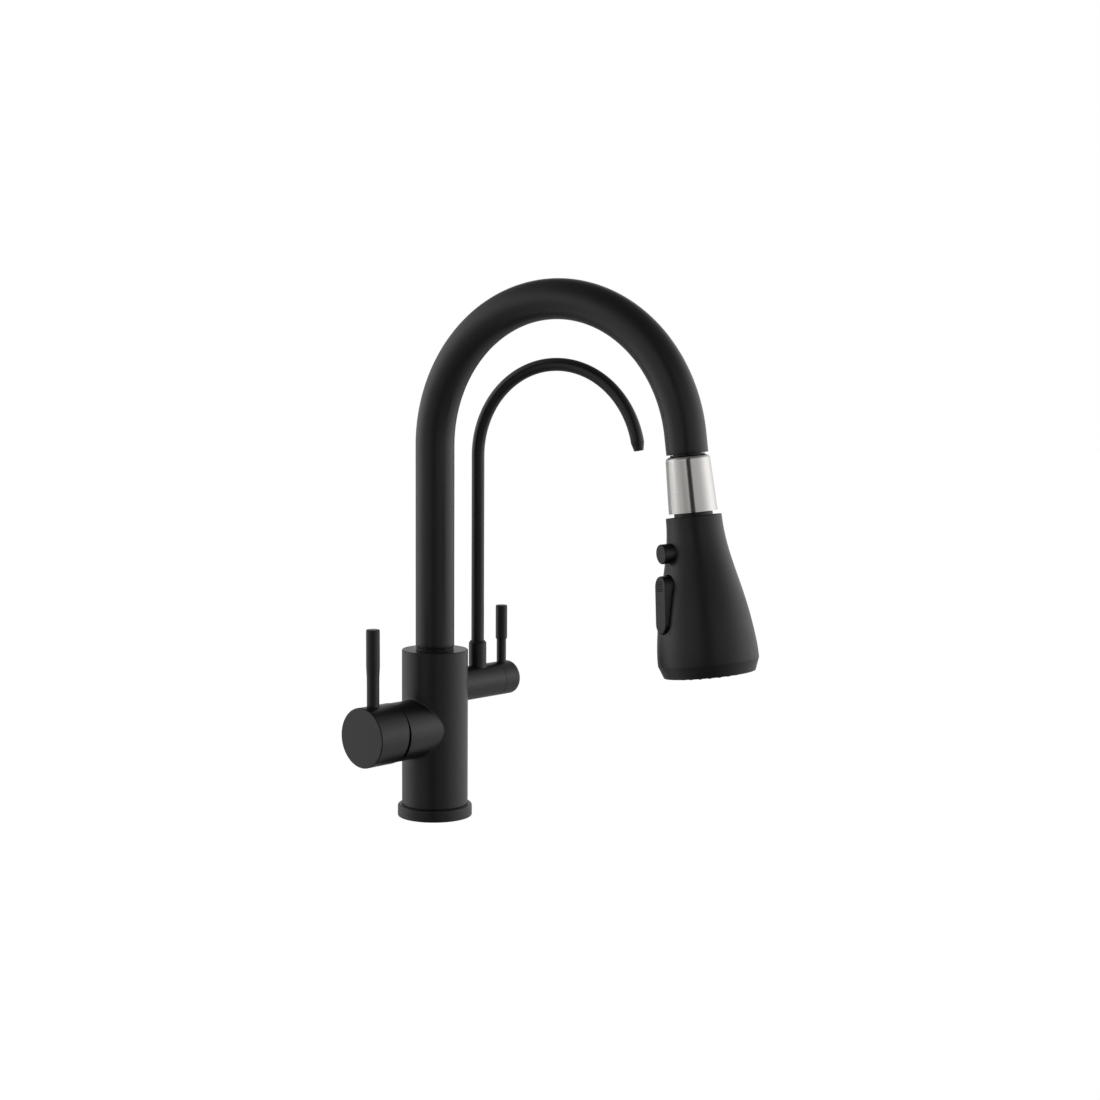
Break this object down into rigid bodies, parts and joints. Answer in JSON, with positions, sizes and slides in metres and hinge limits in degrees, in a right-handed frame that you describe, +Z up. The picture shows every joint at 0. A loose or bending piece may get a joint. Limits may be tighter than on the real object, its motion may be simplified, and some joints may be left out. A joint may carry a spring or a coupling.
{
  "type": "kitchen mixer tap",
  "caption": "Matt black kitchen mixer with a high curved spout and pull-out spray head, a side lever, and a slim second spout for filtered water with its own small lever.",
  "frame": {"origin": "centre of the base ring's underside, on the deck", "axes": "+Z up, -Y towards the sink, -X on the mixing lever's side, +X on the filter valve's side"},
  "size_m": [0.1569, 0.2958, 0.4041],
  "materials": {
    "black_coat": "satin black powder coat",
    "black_plastic": "satin black",
    "spray_plate": "matt dark grey",
    "brushed_steel": "brushed along its length",
    "plain_steel": "as drawn or turned",
    "brass": "turned",
    "valve_plastic": "moulded",
    "seal_rubber": "matt",
    "hose_braid": "woven nylon over rubber"
  },
  "bodies": {
    "tap_body": {"tap_body": "black_coat", "inlet_block": "brass", "base_ring": "black_coat", "base_gasket": "seal_rubber", "swivel_ring": "black_plastic", "spout_screw": "plain_steel", "cartridge": "valve_plastic", "cartridge_nut": "brass", "filter_barrel": "black_coat", "valve_headwork": "brass", "filter_collar": "black_coat"},
    "spout": {"spout_tube": "black_coat", "spout_foot": "black_plastic", "spout_seal_1": "seal_rubber", "spout_seal_2": "seal_rubber", "dock_insert": "black_plastic", "pullout_hose": "hose_braid"},
    "filter_spout": {"filter_tube": "black_coat", "filter_foot": "brass", "filter_seal": "seal_rubber", "filter_nozzle": "black_coat"},
    "mixer_turret": {"cartridge_turret": "valve_plastic", "pivot_pin": "plain_steel"},
    "mixer_handle": {"lever_cap": "black_coat", "mixer_lever": "black_coat", "cartridge_stem": "plain_steel", "cap_screw": "plain_steel", "cap_plug": "black_plastic"},
    "filter_handle": {"valve_knob": "black_coat", "filter_lever": "black_coat", "valve_spindle": "brass", "knob_screw": "plain_steel"},
    "pullout": {"dock_spigot": "black_plastic", "steel_sleeve": "brushed_steel", "swivel_neck": "black_plastic", "hose_ferrule": "plain_steel", "neck_seal": "seal_rubber"},
    "spray_head": {"head_shell": "black_plastic", "diverter_core": "valve_plastic", "spray_face": "spray_plate", "aerator": "spray_plate", "toggle_pin": "plain_steel", "button_spring": "plain_steel"},
    "button": {"spray_button": "black_plastic"},
    "toggle": {"spray_toggle": "black_plastic"}
  },
  "joints": [
    {"name": "spout_swivel", "type": "hinge", "parent": "tap_body", "child": "spout", "pos_m": [0, 0, 0.1274], "axis": [0, 0, 1], "continuous": true},
    {"name": "filter_spout_swivel", "type": "hinge", "parent": "tap_body", "child": "filter_spout", "pos_m": [0.046, 0, 0.1081], "axis": [0, 0, 1], "range_deg": [-40, 150]},
    {"name": "temperature_turn", "type": "hinge", "parent": "tap_body", "child": "mixer_turret", "pos_m": [-0.047, 0, 0.0692], "axis": [1, 0, 0], "range_deg": [-45, 45]},
    {"name": "flow_tilt", "type": "hinge", "parent": "mixer_turret", "child": "mixer_handle", "pos_m": [-0.047, 0, 0.0692], "axis": [0, -1, 0], "range_deg": [0, 11]},
    {"name": "filter_turn", "type": "hinge", "parent": "tap_body", "child": "filter_handle", "pos_m": [0.0725, 0, 0.0972], "axis": [1, 0, 0], "range_deg": [0, 90]},
    {"name": "head_pull", "type": "slide", "parent": "spout", "child": "pullout", "axis": [0.0204, -0.1289, -0.9914], "range_m": [0, 0.4], "deforming": ["pullout_hose"]},
    {"name": "head_spin", "type": "hinge", "parent": "pullout", "child": "spray_head", "pos_m": [0.03392, -0.21415, 0.28236], "axis": [0.0204, -0.1289, -0.9914], "continuous": true},
    {"name": "button_press", "type": "slide", "parent": "spray_head", "child": "button", "axis": [0.9279, -0.3668, 0.0668], "range_m": [0, 0.002], "stiffness_N_per_m": 600, "springref_m": -0.002, "deforming": ["button_spring"]},
    {"name": "toggle_rock", "type": "hinge", "parent": "spray_head", "child": "toggle", "pos_m": [0.01193, -0.21754, 0.18149], "axis": [0.3722, 0.9213, -0.1121], "range_deg": [0, 6]}
  ]
}
